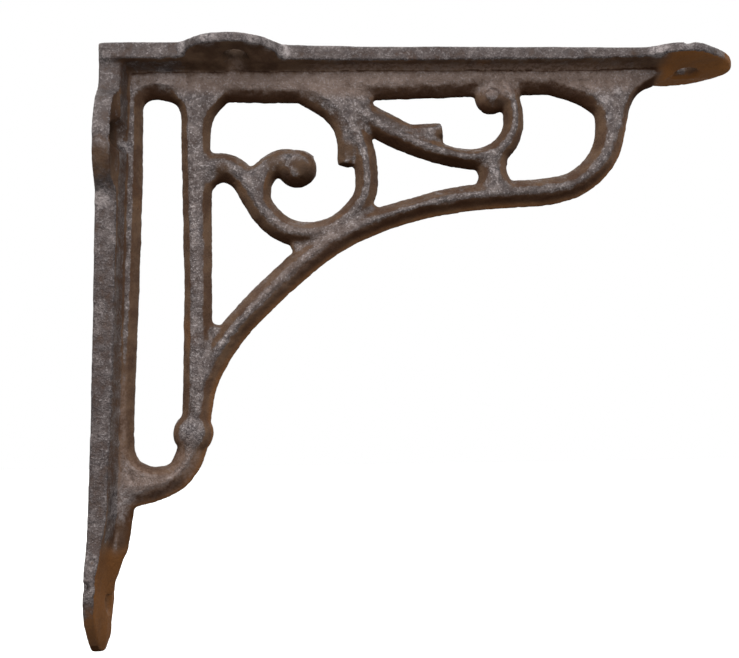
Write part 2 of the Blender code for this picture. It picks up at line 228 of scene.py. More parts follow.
# Four countersunk screw holes, each with its mouth on a leg's inner face
holes = {
    "radius": 2.5,
    "mouthRadius": 3.4,
    "sink": 1.3,      # depth of the countersink
    "depth": 9.0,     # the cutter goes this far in from the mouth, and this far out of it
    "above": 3.0,
    "earSide": -8.0,
    "shelfEar": (33.4, 3.4),
    "wallEar": (4.2, 23.3),
    "padFromTip": 12.0,
    "padFace": 2.9,   # height of the mouths over a pad's mounting face
    "steps": 40,
}


def screwMouths():
    # the middle of each mouth, and the way it faces
    shelfPad = (shelfReach - holes["padFromTip"], holes["padFace"])
    wallPad = (holes["padFace"], wallHeight - holes["padFromTip"])
    return [
        (place(*holes["shelfEar"], holes["earSide"]), Vector((0, 0, -1))),
        (place(*shelfPad, pads["sideShift"]), Vector((0, 0, -1))),
        (place(*holes["wallEar"], holes["earSide"]), Vector((1, 0, 0))),
        (place(*wallPad, pads["sideShift"]), Vector((1, 0, 0))),
    ]


def cutHoles(legsShape):
    radius, above, depth = holes["radius"], holes["above"], holes["depth"]
    flare = (holes["mouthRadius"] - radius) / holes["sink"]
    profile = [(0.0, above), (holes["mouthRadius"] + flare * above, above)]
    profile += [(radius, -holes["sink"]), (radius, -depth), (0.0, -depth)]
    cutters = []
    for index, (mouth, facing) in enumerate(screwMouths()):
        bm = turned(profile, holes["steps"])
        turn = Vector((0, 0, 1)).rotation_difference(facing).to_matrix().to_4x4()
        bmesh.ops.transform(bm, matrix=Matrix.Translation(mouth) @ turn, verts=bm.verts)
        cutters.append(shapeObject(f"screwHole{index + 1}", bm))
        cut = legsShape.modifiers.new(cutters[-1].name, "BOOLEAN")
        cut.operation = "DIFFERENCE"
        cut.solver = "EXACT"
        cut.object = cutters[-1]
    settle(legsShape)
    for cutter in cutters:
        bpy.data.objects.remove(cutter, do_unlink=True)


def settle(shape):
    # turn a shape's modifiers into its mesh
    graph = bpy.context.evaluated_depsgraph_get()
    mesh = bpy.data.meshes.new_from_object(shape.evaluated_get(graph))
    shape.modifiers.clear()
    shape.data = mesh


# Bars of the web. A station is (out, drop, half width). The face is narrower by the inset on each side,
# stands the half depth from the mid-plane, and bulges at its middle by the crown. Over the last fifth
# of a bar these two change to its "endDepth" and "endCrown".
barShape = {
    "inset": 2.1,        # where a bar gives none: this, or a share of the half width if that is less
    "insetShare": 0.62,
    "insetMost": 0.92,
    "crown": 0.42,
    "steps": 7,
    # up the side as shares of the inset and the depth, then over the face as shares of it and the crown
    "side": [(0.0, 0.0), (0.07, 0.2), (0.5, 0.61), (0.93, 0.95)],
    "face": [(0.9, 0.0), (0.5, 0.7), (0.0, 1.0)],
}
bars = {
    "wallRib": {
        "halfDepth": 2.8,
        "inset": 1.65,
        "stations": [
            (7.6, 2.0, 2.2), (7.6, 15.0, 2.2), (7.6, 35.0, 2.3), (7.3, 62.0, 2.2), (6.8, 87.0, 2.15),
            (6.7, 97.0, 2.3), (6.5, 104.0, 2.8), (6.4, 108.0, 3.0),
        ],
    },
    "ribTail": {
        "halfDepth": 2.8,
        "inset": 2.4,
        "stations": [
            (6.7, 97.0, 2.3), (6.5, 104.0, 2.8), (6.4, 111.0, 3.2), (6.2, 114.5, 2.9), (6.0, 118.0, 2.65),
            (5.6, 122.0, 2.4), (4.8, 125.0, 1.95), (3.8, 129.5, 1.6), (3.0, 133.0, 1.3),
        ],
    },
    "shelfRib": {
        "halfDepth": 2.75,
        "inset": 2.8,
        "stations": [
            (2.0, 6.1, 4.6), (14.0, 5.9, 4.4), (22.0, 6.4, 5.0), (32.0, 6.7, 5.5), (50.0, 6.7, 5.6),
            (80.0, 6.1, 4.9), (106.0, 5.6, 4.4), (124.0, 5.5, 4.2), (137.0, 5.0, 3.4), (141.0, 4.2, 2.6),
            (146.0, 2.9, 1.4),
        ],
    },
    "strut": {
        "halfDepth": 2.7,
        "inset": 1.95,
        "crown": 0.12,
        "stations": [
            (23.9, 5.0, 9.0), (23.9, 9.0, 8.8), (23.8, 12.0, 7.0), (23.7, 13.6, 5.35), (23.4, 15.6, 4.35),
            (23.1, 18.3, 3.9), (22.95, 22.0, 3.75), (23.4, 38.0, 3.7), (23.8, 58.0, 3.5), (23.9, 76.0, 3.5),
            (23.7, 94.0, 3.5),
        ],
    },
    "slotHead": {
        "halfDepth": 2.6,
        "inset": 3.25,
        "stations": [
            (6.15, 19.0, 3.5), (6.2, 14.2, 3.5), (7.8, 10.2, 3.5), (11.6, 8.3, 3.5), (15.8, 8.5, 3.5),
            (20.3, 10.4, 3.4), (22.6, 15.0, 3.3),
        ],
    },
    "slotFoot": {
        "halfDepth": 2.5,
        "stations": [
            (6.4, 96.0, 2.5), (6.7, 99.3, 2.5), (7.5, 101.9, 2.5), (9.4, 104.3, 2.5), (13.5, 105.8, 2.5),
            (17.0, 105.6, 2.5),
        ],
    },
    "footCurl": {
        "halfDepth": 2.65,
        "inset": 2.8,
        "stations": [
            (23.4, 95.0, 3.6), (22.2, 101.0, 3.6), (19.3, 105.5, 3.5), (14.6, 107.4, 4.0), (9.5, 107.9, 4.9),
            (5.0, 108.8, 4.2),
        ],
    },
    "brace": {
        "halfDepth": 2.9,
        "inset": 2.35,
        "endCrown": -0.5,
        "stations": [
            (23.8, 93.0, 3.4), (25.1, 84.5, 3.5), (28.4, 77.0, 3.5), (33.5, 69.6, 3.5), (42.8, 59.9, 3.6),
            (53.1, 51.0, 3.6), (63.8, 44.8, 3.4), (76.0, 40.6, 3.1), (88.0, 37.7, 3.4), (100.0, 36.4, 3.55),
            (110.5, 35.6, 3.6), (117.4, 34.2, 3.5), (122.4, 31.3, 3.5), (125.9, 27.5, 3.6),
            (127.9, 23.5, 3.75), (128.8, 19.5, 3.95), (129.2, 16.0, 4.35), (129.2, 12.4, 5.5),
            (129.0, 8.0, 7.6), (129.0, 3.6, 9.0),
        ],
    },
    "farFlare": {
        "halfDepth": 2.4,
        "stations": [
            (130.8, 18.0, 2.1), (131.6, 14.7, 2.2), (132.7, 11.5, 2.2), (134.4, 8.8, 2.2), (137.2, 6.7, 2.0),
            (140.0, 5.4, 1.8), (143.0, 4.2, 1.4),
        ],
    },
    "cornerGusset": {
        "halfDepth": 2.5,
        "inset": 2.6,
        "stations": [(113.0, 6.8, 2.9), (119.0, 8.5, 3.0), (123.6, 10.4, 3.1), (128.5, 14.0, 3.5)],
    },
    "sScroll": {
        "halfDepth": 2.65,
        "stations": [
            (23.0, 29.4, 3.3), (30.2, 29.3, 3.85), (34.5, 31.7, 3.5), (37.6, 36.6, 3.5), (40.6, 41.4, 3.45),
            (45.1, 45.2, 3.35), (51.2, 46.5, 3.2), (57.5, 44.9, 3.1), (62.5, 41.0, 3.05), (65.4, 36.2, 2.95),
            (65.8, 31.2, 3.0), (65.1, 25.8, 3.2), (63.2, 20.4, 3.4), (60.0, 15.2, 3.4), (55.5, 10.8, 3.6),
            (49.0, 7.6, 3.6),
        ],
    },
    "scrollRoot": {
        "halfDepth": 1.7,
        "inset": 1.2,
        "stations": [(24.9, 37.2, 1.5), (26.1, 34.0, 1.6), (28.3, 31.9, 1.6), (31.4, 30.6, 1.6)],
    },
    "thorn": {
        "halfDepth": 2.15,
        "inset": 2.2,
        "crown": 0.0,
        "stations": [
            (47.0, 7.2, 3.7), (52.5, 9.8, 4.15), (57.0, 13.0, 3.9), (60.1, 17.5, 3.2), (61.2, 22.0, 2.9),
            (61.0, 26.2, 2.5), (60.7, 28.7, 2.2),
        ],
    },
    "hook": {
        "halfDepth": 2.55,
        "endDepth": 2.1,
        "stations": [
            (39.4, 37.5, 2.3), (39.6, 33.2, 2.5), (41.4, 29.6, 3.1), (44.6, 27.9, 3.6), (47.5, 28.8, 4.4),
            (50.1, 29.4, 4.6), (52.3, 29.6, 3.5),
        ],
    },
    "hookHeel": {
        "halfDepth": 2.3,
        "stations": [(35.6, 32.6, 1.9), (38.7, 30.0, 1.9), (41.8, 27.7, 2.2), (45.0, 27.0, 2.6)],
    },
    "leafScroll": {
        "halfDepth": 2.6,
        "stations": [
            (58.5, 10.4, 3.5), (65.3, 15.4, 3.8), (70.5, 19.2, 3.4), (76.0, 22.1, 3.2), (82.0, 24.5, 3.0),
            (88.0, 26.4, 2.65), (93.0, 27.0, 2.8), (97.6, 26.0, 2.95), (101.3, 23.4, 2.95),
            (103.4, 19.5, 2.65), (103.8, 15.5, 2.7), (103.1, 11.4, 2.7), (101.5, 7.5, 3.2),
        ],
    },
    "leafRoot": {
        "halfDepth": 2.1,
        "inset": 1.6,
        "stations": [(57.0, 8.3, 3.2), (62.0, 10.0, 2.8), (65.8, 11.8, 2.0), (67.6, 12.4, 1.2)],
    },
    "leaf": {
        "halfDepth": 1.95,
        "crown": -0.1,
        "endDepth": 2.5,
        "stations": [
            (66.0, 14.4, 2.5), (71.0, 17.4, 2.7), (76.4, 20.2, 2.7), (80.5, 20.6, 3.0), (83.8, 20.1, 2.7),
            (85.3, 19.9, 2.5),
        ],
    },
    "post": {
        "halfDepth": 2.35,
        "crown": 0.7,
        "inset": 2.3,
        "stations": [
            (97.6, 26.5, 4.6), (97.7, 29.4, 4.1), (98.0, 31.0, 3.8), (98.2, 33.0, 4.5), (98.3, 36.5, 5.4),
        ],
    },
}


def smoothPath(stations, steps):
    # more stations between the given ones, on a curve through every one
    knots = [Vector(station) for station in stations]
    ends = [2 * knots[0] - knots[1]] + knots + [2 * knots[-1] - knots[-2]]
    path = []
    for before, start, end, after in zip(ends, ends[1:], ends[2:], ends[3:]):
        for step in range(steps):
            t = step / steps
            bend = 2 * before - 5 * start + 4 * end - after
            swing = 3 * (start - end) + after - before
            path.append(start + 0.5 * t * (end - before + t * (bend + t * swing)))
    return path + [knots[-1]]


def buildBar(name, bar):
    path = smoothPath(bar["stations"], barShape["steps"])
    last = len(path) - 1
    sections = []
    for index, (out, drop, halfWidth) in enumerate(path):
        ahead = path[min(index + 1, last)] - path[max(index - 1, 0)]
        across = Vector((-ahead.y, ahead.x)).normalized()
        ending = max(0.0, 5 * index / last - 4)
        crown = bar.get("crown", barShape["crown"])
        crown += (bar.get("endCrown", crown) - crown) * ending
        depth = bar["halfDepth"] + (bar.get("endDepth", bar["halfDepth"]) - bar["halfDepth"]) * ending
        usual = min(barShape["inset"], barShape["insetShare"] * halfWidth)
        inset = min(bar.get("inset", usual), barShape["insetMost"] * halfWidth)
        face = halfWidth - inset
        quarter = [(halfWidth - share * inset, rise * depth) for share, rise in barShape["side"]]
        quarter += [(share * face, depth + rise * crown) for share, rise in barShape["face"]]
        front = quarter + [(-reach, side) for reach, side in quarter[-2::-1]]
        ring = front + [(reach, -side) for reach, side in front[-2:0:-1]]
        section = [(out + across.x * reach, drop + across.y * reach, side) for reach, side in ring]
        sections.append([place(*point) for point in section])
    return sweep(name, sections)


# Round bosses: where the foot curl starts, and at the ends of the hook and the leaf scroll. Smaller and
# flatter ones fill three sharp corners.
beads = {
    "footBead": {"at": (23.0, 95.5), "radius": 4.9, "face": 3.3, "halfDepth": 3.5},
    "hookBead": {"at": (48.4, 29.5), "radius": 4.95, "face": 3.2, "halfDepth": 3.8},
    "leafScrollBead": {"at": (98.1, 10.8), "radius": 4.2, "face": 1.8, "halfDepth": 3.2},
}
fillets = {
    "at": [(28.0, 70.7, 1.7), (48.3, 49.7, 1.5), (67.2, 40.4, 1.5)],  # out, drop, radius
    "halfDepth": 1.5,
    "faceShare": 0.7,
}
beadShape = {
    "steps": 36,
    # over the face as shares of its radius and the half depth, then down the side
    "face": [(0.0, 1.0), (0.4, 0.985), (0.75, 0.94), (1.0, 0.83)],
    "sideDepths": (0.5, 0.22, 0.0),
    "bulge": 0.35,
    "draft": 0.1,
}


def buildBead(name, at, radius, face, halfDepth):
    top = [(share * face, rise * halfDepth) for share, rise in beadShape["face"]]
    sideReach = (0.5 * (radius + face) + beadShape["bulge"], radius - beadShape["draft"], radius)
    top += [(reach, rise * halfDepth) for reach, rise in zip(sideReach, beadShape["sideDepths"])]
    bm = turned(top + [(reach, -side) for reach, side in top[-2::-1]], beadShape["steps"])
    turn = Matrix.Rotation(math.radians(90), 4, "X")
    bmesh.ops.transform(bm, matrix=Matrix.Translation(place(*at, 0.0)) @ turn, verts=bm.verts)
    return shapeObject(name, bm)


# The whole casting: the shapes fused, softened as sand leaves them, and brought to size
skin = {
    "voxel": 0.36,      # millimetres
    "softPasses": 3,
    "filletPasses": 44,
    "pull": 0.5,
    "outerPull": 0.02,  # what is left of the pull on outer edges while the inner corners fill
    "normalsEvery": 4,
    "most": 192000,     # triangles
}


def fuse(name, shapes):
    bm = bmesh.new()
    for shape in shapes:
        bm.from_mesh(shape.data)
        bpy.data.objects.remove(shape, do_unlink=True)
    whole = shapeObject(name, bm)
    remesh = whole.modifiers.new("fused", "REMESH")
    remesh.mode = "VOXEL"
    remesh.voxel_size = skin["voxel"] * mm
    settle(whole)
    return whole


def readVectors(items, field):
    values = np.empty(len(items) * 3, np.float32)
    items.foreach_get(field, values)
    return values.reshape(-1, 3).astype(float)


def neighbours(mesh):
    ends = np.empty(len(mesh.edges) * 2, np.int32)
    mesh.edges.foreach_get("vertices", ends)
    first, second = ends.reshape(-1, 2).T
    size = len(mesh.vertices)
    return first, second, np.bincount(first, minlength=size) + np.bincount(second, minlength=size)


def neighbourMean(values, links):
    first, second, count = links
    size = len(count)
    total = [
        np.bincount(first, values[second, k], size) + np.bincount(second, values[first, k], size)
        for k in range(values.shape[1])
    ]
    return np.stack(total, axis=1) / count[:, None]


def moveTo(mesh, points):
    mesh.vertices.foreach_set("co", points.astype(np.float32).ravel())
    mesh.update()


def soften(whole):
    # smooth all of it a little, then let only the inner corners fill, so that outer edges stay crisp
    mesh = whole.data
    links = neighbours(mesh)
    points = readVectors(mesh.vertices, "co")
    for _ in range(skin["softPasses"]):
        points += skin["pull"] * (neighbourMean(points, links) - points)
    for turn in range(skin["filletPasses"]):
        if turn % skin["normalsEvery"] == 0:
            moveTo(mesh, points)
            normals = readVectors(mesh.vertex_normals, "vector")
        pull = neighbourMean(points, links) - points
        outward = np.sum(pull * normals, axis=1) > 0
        points += np.where(outward, skin["pull"], skin["outerPull"])[:, None] * pull
    moveTo(mesh, points)


# Sand-cast skin: lumps, grain and pits, and the nicks that show on the near edges of pads and legs
relief = {
    "heights": [(9.0, 0.12), (2.8, 0.10), (1.1, 0.075)],  # swell, lumps and grain: size and height in mm
    "pits": (1.9, 0.16, 0.30),  # size, depth, and how near a pit's centre counts
    "flatFaces": 0.35,          # share of it on the two mounting faces, which lie within this depth
    "faceDepth": 0.8,
    "nicks": [
        (146.6, 0.2, -11.6, 1.5, 1.2),
        (0.2, 130.1, -11.4, 1.4, 1.0),
        (1.7, 124.6, -10.3, 1.1, 0.45),
        (129.0, 3.4, -7.5, 1.0, 0.4),
    ],  # out, drop, side, radius, depth
}


def castSurface(whole):
    mesh = whole.data
    points = readVectors(mesh.vertices, "co")
    normals = readVectors(mesh.vertex_normals, "vector")
    heights = np.zeros(len(points))
    for size, height in relief["heights"]:
        scaled = points / (size * mm)
        heights += height * mm * np.array([noise.noise(p) for p in scaled.tolist()])
    pitSize, pitDepth, pitNear = relief["pits"]
    nearest = np.array([noise.voronoi(p)[0][0] for p in (points / (pitSize * mm)).tolist()])
    heights -= pitDepth * mm * np.clip(1 - nearest / pitNear, 0, 1)
    wallFace = -normals[:, 0] * (points[:, 0] < relief["faceDepth"] * mm)
    shelfFace = normals[:, 2] * (points[:, 2] > highCorner.z - relief["faceDepth"] * mm)
    heights *= 1 - (1 - relief["flatFaces"]) * np.clip(np.maximum(wallFace, shelfFace), 0, 1)
    points += heights[:, None] * normals
    for out, drop, side, radius, depth in relief["nicks"]:
        away = np.linalg.norm(points - np.array(place(out, drop, side)), axis=1) / (radius * mm)
        points -= (depth * mm * np.clip(1 - away**2, 0, 1))[:, None] * normals
    moveTo(mesh, points)


def countTriangles(mesh):
    return sum(len(face.vertices) - 2 for face in mesh.polygons)


def thin(whole):
    triangles = countTriangles(whole.data)
    if triangles > skin["most"]:
        fewer = whole.modifiers.new("fewer", "DECIMATE")
        fewer.ratio = skin["most"] / triangles
        settle(whole)
    whole.data.shade_smooth()


# Where the finish changes: rubbed bare, proud edges, rust, painted shade in hollows and under the bars, and
# painted light and glow on some faces. A pair of numbers is where a change starts and ends, except for the
# flange.
wear = {
    "face": (0.74, 0.97),      # a bar's face counts as rubbed once it turns this far to either side
    "nearFace": (0.35, 0.75),  # and so do the near edges of the legs, pads and ears,
    "nearFrom": 5.6,           # which stand this far from the mid-plane
    "nearShare": 0.92,
    "flange": (0.66, 0.36),    # how rubbed the inner faces of the wall leg and the shelf leg are
    "pastEar": (44.0, 60.0),
    "top": (0.15, 0.75),       # the upper sides of the bars, made lighter as painted light from above
    "litTopShare": 0.42,
    "edge": (0.012, 0.05),
    "hollow": (0.008, 0.05),
    "spreadPasses": 3,
    "barDepth": 3.6,           # bars reach this far from the mid-plane
    "padHole": 0.15,           # a hole in a pad gets less painted shade than one in an ear
    "padSpan": 15.0,
    # rust on the inner faces of the pads and round the tips, by the distance from the tip, and the painted
    # shade laid over it
    "rusty": {
        "wall": {"pad": (21.5, 25.5), "tip": (4.0, 16.0), "shade": 0.5},
        "shelf": {"pad": (17.5, 22.5), "tip": (1.0, 9.0), "shade": 0.05},
    },
    "inward": (0.3, 0.8),
    "tipShare": 0.8,
    "tipWear": 0.85,           # what rust at a tip takes from the rubbed look
    "outer": (0.5, 2.2),       # a painted warm glow of reflected light on the outer side of curl and brace, near the mid-plane
    "outerGlowShare": 0.55,
    "outerGlowBeyond": 8.0,
    "under": (0.25, 0.7),      # painted shade on the undersides of the bars, except near rust and the painted glow
    "cleared": (0.0, 0.4),
    # faces painted a lighter tan than grey, partly as painted light where light falls on them, as (out, drop,
    # half length, half height, amount)
    "tanAndLightSpots": [
        (72, 6.5, 92, 6.5, 1.0), (15, 106, 16, 13, 0.9), (7, 108, 5, 34, 0.9), (50, 55, 30, 16, 0.4),
    ],
    "tanAndLightFrom": (0.55, 0.85),
    # painted shade on the inner side of the wall rib and in the wall ear's hollow, the same way
    "shadedStretches": [(9, 121, 6, 14, 0.75), (3, 24, 5, 13, 0.45)],
    "ellipseFade": (0.55, 1.0),
    # painted highlights (+) and painted shade (-) in patches, as (out, drop, side, radius, amount)
    "patches": {
        "ears": [
            (20.5, 0.9, -10.0, 1.4, 1.6), (20.5, 2.4, -10.0, 1.4, 1.6), (20.5, 3.9, -10.0, 1.3, 1.4),
            (45.4, 1.2, -8.6, 2.0, 1.3), (45.4, 2.8, -8.6, 2.0, 1.3), (27.0, 0.9, -14.2, 3.2, 0.9),
            (38.0, 1.2, -14.4, 3.0, 0.7), (42.0, 1.2, -11.5, 2.6, 0.8), (1.5, 39.5, -8.6, 3.4, 0.5),
            (1.5, 30.5, -12.0, 6.0, -0.4),
        ],
        "shelfPad": [(139.4, 1.4, -9.6, 3.2, 1.4)],
        "ribs": [
            (6.2, 25.2, -4.2, 2.2, 1.2), (15.5, 7.0, -2.8, 4.0, 0.4), (22.0, 3.4, -2.8, 4.2, -0.45),
            (28.5, 3.4, -2.8, 4.2, -0.5), (35.0, 3.4, -2.8, 4.2, -0.5), (41.5, 3.4, -2.8, 4.2, -0.5),
            (48.0, 3.4, -2.8, 4.2, -0.4),
        ],
        "footCurl": [
            (23.0, 95.0, -3.5, 3.6, 0.3), (9.0, 113.8, -1.6, 2.6, -0.6), (15.0, 110.6, -2.2, 2.8, -0.5),
            (10.0, 112.0, -2.2, 2.4, -0.5), (19.5, 107.2, -2.2, 2.4, -0.4), (7.0, 112.0, -2.8, 5.5, 0.8),
        ],
        "farCorner": [
            (130.6, 9.5, -2.6, 1.8, 0.8), (127.2, 12.0, -2.8, 1.7, 0.8), (127.6, 16.5, -2.8, 1.4, 0.5),
            (130.4, 18.6, -2.4, 1.6, 0.6),
        ],
        "sScroll": [
            (60.7, 25.6, -2.2, 3.4, -0.5), (43.0, 28.6, -2.6, 3.6, -0.35), (48.6, 29.3, -3.8, 3.0, -0.4),
            (46.0, 27.0, -3.2, 1.6, 0.6), (30.0, 31.0, -2.6, 3.0, -0.4), (50.8, 31.6, -3.0, 3.2, -0.7),
            (45.5, 31.5, -2.6, 2.2, -0.7),
        ],
        "leafScroll": [
            (97.5, 8.6, -2.8, 1.7, 0.5), (100.5, 12.8, -2.6, 2.4, -0.8), (84.0, 18.4, -2.4, 1.3, 0.5),
            (84.6, 20.8, -2.0, 2.2, -0.5), (98.0, 31.0, -3.0, 1.6, 0.7),
        ],
    },
    "patchFade": (0.3, 1.0),
}


def ramp(values, low, high):
    # none at low and full at high, with soft ends
    share = np.clip((values - low) / (high - low), 0, 1)
    return share * share * (3 - 2 * share)


def addMask(mesh, name, values):
    mask = mesh.attributes.new(name, "FLOAT", "POINT")
    mask.data.foreach_set("value", np.clip(values, 0, 1).astype(np.float32))


def inEllipses(spots, out, drop):
    most = np.zeros(len(out))
    for middleOut, middleDrop, halfLength, halfHeight, amount in spots:
        away = np.hypot((out - middleOut) / halfLength, (drop - middleDrop) / halfHeight)
        most = np.maximum(most, amount * (1 - ramp(away, *wear["ellipseFade"])))
    return most


def markWear(whole):
    mesh = whole.data
    links = neighbours(mesh)
    points = readVectors(mesh.vertices, "co")
    normals = readVectors(mesh.vertex_normals, "vector")
    smooth = normals.copy()
    # how far each point stands out from its neighbours, in millimetres
    bend = -np.sum((neighbourMean(points, links) - points) * normals, axis=1)[:, None] / mm
    for _ in range(wear["spreadPasses"]):
        smooth = neighbourMean(smooth, links)
        bend = neighbourMean(bend, links)
    smooth /= np.linalg.norm(smooth, axis=1)[:, None]
    bend = bend[:, 0]

    rubbed = ramp(np.abs(smooth[:, 1]), *wear["face"])
    near = points[:, 1] / mm < -wear["nearFrom"]
    rubbed = np.where(near, wear["nearShare"] * ramp(-smooth[:, 1], *wear["nearFace"]), rubbed)
    # painted shade in creases, and below in the screw holes; it also keeps these places from looking rubbed
    hollow = ramp(-bend, *wear["hollow"])
    for mouth, facing in screwMouths():
        fromMouth = points - np.array(mouth)
        fromAxis = np.linalg.norm(np.cross(fromMouth, np.array(facing)), axis=1) / mm
        blackened = 1 - ramp(fromAxis, holes["radius"], holes["mouthRadius"])
        onPad = min(shelfReach * mm - mouth.x, mouth.z - lowCorner.z) < wear["padSpan"] * mm
        hollow = np.maximum(hollow, blackened * (wear["padHole"] if onPad else 1.0))
    addMask(mesh, "edge", ramp(bend, *wear["edge"]))

    # rust on the pads and round the tips, and a painted warm glow of reflected light along the outer side of
    # the foot curl and the brace
    out, drop = points[:, 0] / mm, (highCorner.z - points[:, 2]) / mm
    side = np.abs(points[:, 1]) / mm
    # each point belongs to the leg whose tip is nearer
    onShelf = shelfReach - out < wallHeight - drop
    fromTip = np.where(onShelf, shelfReach - out, wallHeight - drop)
    inward = ramp(np.where(onShelf, -smooth[:, 2], smooth[:, 0]), *wear["inward"])
    wallRust, shelfRust = wear["rusty"]["wall"], wear["rusty"]["shelf"]
    shade = np.where(onShelf, shelfRust["shade"], wallRust["shade"])
    padShare = 1 - np.where(onShelf, ramp(fromTip, *shelfRust["pad"]), ramp(fromTip, *wallRust["pad"]))
    tipShare = 1 - np.where(onShelf, ramp(fromTip, *shelfRust["tip"]), ramp(fromTip, *wallRust["tip"]))
    padRust = inward * padShare
    # the middle line of the curl and the brace, outwards from the wall rib
    line = bars["footCurl"]["stations"][:0:-1] + bars["brace"]["stations"][1:-3]
    below = drop - np.interp(out, [station[0] for station in line], [station[1] for station in line])
    outer = (out > line[0][0]) & (out < line[-1][0] + wear["outerGlowBeyond"]) & (below > 0)
    outerGlow = outer * (1 - ramp(side, *wear["outer"]))
    rustAndGlow = np.maximum(padRust, wear["tipShare"] * tipShare)
    addMask(mesh, "rustAndGlow", np.maximum(rustAndGlow, wear["outerGlowShare"] * outerGlow))

    # painted shade under the bars, on the wall rib's dark stretches and in the wall ear, and over the rust on
    # the pads and round the tips
    onBar = side < wear["barDepth"]
    under = onBar * ramp(-smooth[:, 2], *wear["under"])
    paintedShade = under * (1 - np.maximum(outerGlow, ramp(padRust, *wear["cleared"])))
    darkRib = inEllipses(wear["shadedStretches"], out, drop) * ramp(smooth[:, 0], *wear["inward"]) * (1 - padRust)
    paintedShade = np.maximum(paintedShade, darkRib)
    addMask(mesh, "paintedShade", np.maximum(paintedShade, shade * np.maximum(padRust, tipShare)))

    # faces that are partly rubbed, dull, or painted a lighter tan that is partly painted light
    flange = (side > wear["barDepth"]) & (side < legs["halfWidth"]) & (fromTip > wallRust["pad"][1])
    pastEar = onShelf * ramp(out, *wear["pastEar"])
    onWallLeg, onShelfLeg = wear["flange"]
    rubbed = np.maximum(rubbed, np.where(onShelf, onShelfLeg * pastEar, onWallLeg) * flange)
    # the upper sides of the bars look more rubbed: painted light from above
    rubbed = np.maximum(rubbed, wear["litTopShare"] * ramp(smooth[:, 2], *wear["top"]) * onBar)
    addMask(mesh, "dull", near * ramp(-smooth[:, 1], *wear["nearFace"]))
    tanAndLight = inEllipses(wear["tanAndLightSpots"], out, drop)
    # on the shelf flange past the ear this lighter tan is painted light on an underside
    tanAndLight *= np.maximum(ramp(np.abs(smooth[:, 1]), *wear["tanAndLightFrom"]), flange * pastEar)
    addMask(mesh, "tanAndLight", tanAndLight * ~near * (1 - padRust))

    # painted highlights where the patches are lighter; the darker ones add painted shade to the hollows
    patches = np.zeros(len(points))
    for *middle, radius, amount in sum(wear["patches"].values(), []):
        away = np.linalg.norm(points - np.array(place(*middle)), axis=1) / (radius * mm)
        patches += amount * (1 - ramp(away, *wear["patchFade"]))
    hollow = np.maximum(hollow, -patches)
    addMask(mesh, "hollow", hollow)
    addMask(mesh, "paintedHighlight", patches)
    addMask(mesh, "rubbed", rubbed * (1 - hollow) * (1 - wear["tipWear"] * tipShare))


# The finish: brown skin with rust and painted shade on it, a lighter tan that is partly painted light, a
# painted warm glow, bare grey metal where it is rubbed, and painted glints and highlights
finish = {
    "brown": (0.072, 0.037, 0.021),
    "tan": (0.121, 0.070, 0.041),
    "rustAndGlow": (0.240, 0.098, 0.028),
    "paintedShade": (0.030, 0.013, 0.007),
    "tanAndLight": (0.198, 0.134, 0.104),
    "creaseShade": (0.016, 0.009, 0.006),
    "steel": (0.049, 0.040, 0.040),
    "steelLight": (0.140, 0.114, 0.106),
    # painted glints on the bare metal
    "glint": (0.37, 0.33, 0.325),
    "masks": ("rubbed", "edge", "hollow", "rustAndGlow", "paintedShade", "paintedHighlight", "dull", "tanAndLight"),
    # size in millimetres, detail and roughness
    "grains": {
        "fine": (0.52, 2.0, 0.65),
        "middle": (1.0, 4.0, 0.72),
        "blotch": (2.4, 3.0, 0.55),
        "mottle": (5.0, 4.0, 0.6),
        "stain": (14.0, 3.0, 0.6),
    },
    # sums of masks and grains, each times its weight
    "bare": {
        "rubbed": 1, "paintedHighlight": 1, "edge": 0.4, "middle": 0.7, "blotch": 0.9, "mottle": 0.9, "hollow": -0.6,
    },
    # painted glints, more of them along ridges and in the lighter patches
    "sparkle": {"fine": 1, "blotch": 0.25, "paintedHighlight": 0.1, "edge": 0.13},
    # lighter metal by random grain, and a little painted highlight along ridges
    "lightness": {"middle": 0.45, "blotch": 0.55, "edge": 0.06},
    "bumps": {"middle": 1, "fine": 0.5},
    # where a value starts and ends its rise, then what it rises from and to where that isn't 0 and 1
    "bareRise": (1.45, 2.35),
    "glintRise": (0.63, 0.88, 0.0, 0.66),
    "highlightRise": (0.4, 0.62, 0.05, 0.75),
    "tanRise": (0.35, 0.65),
    "rustRise": (0.25, 0.6, 0.6, 1.0),
    "stainRise": (0.58, 0.8, 0.0, 0.35),
    "tanAndLightRise": (0.4, 0.58, 0.2, 0.85),
    "lightRise": (0.38, 0.64),
    "dullFall": (0.4, 0.62, 0.85, 0.25),
    "roughFall": (-0.4, 0.8, 0.66, 0.38),
    "glossRise": (0.0, 1.0, 0.14, 0.42),
    # how strongly each one shows
    "tanAndLightOverGlints": 0.5,
    "dullOverGlints": 0.45,
    "paintedShadeShare": 0.85,
    "creaseShadeShare": 0.62,
    "tanAndLightOverMetal": 0.5,
    "metallic": 0.7,
    "grainRoughness": 0.5,
    "rustOverGloss": 0.7,
    "bumpStrength": 0.8,
    "bumpDistance": 0.34,
}


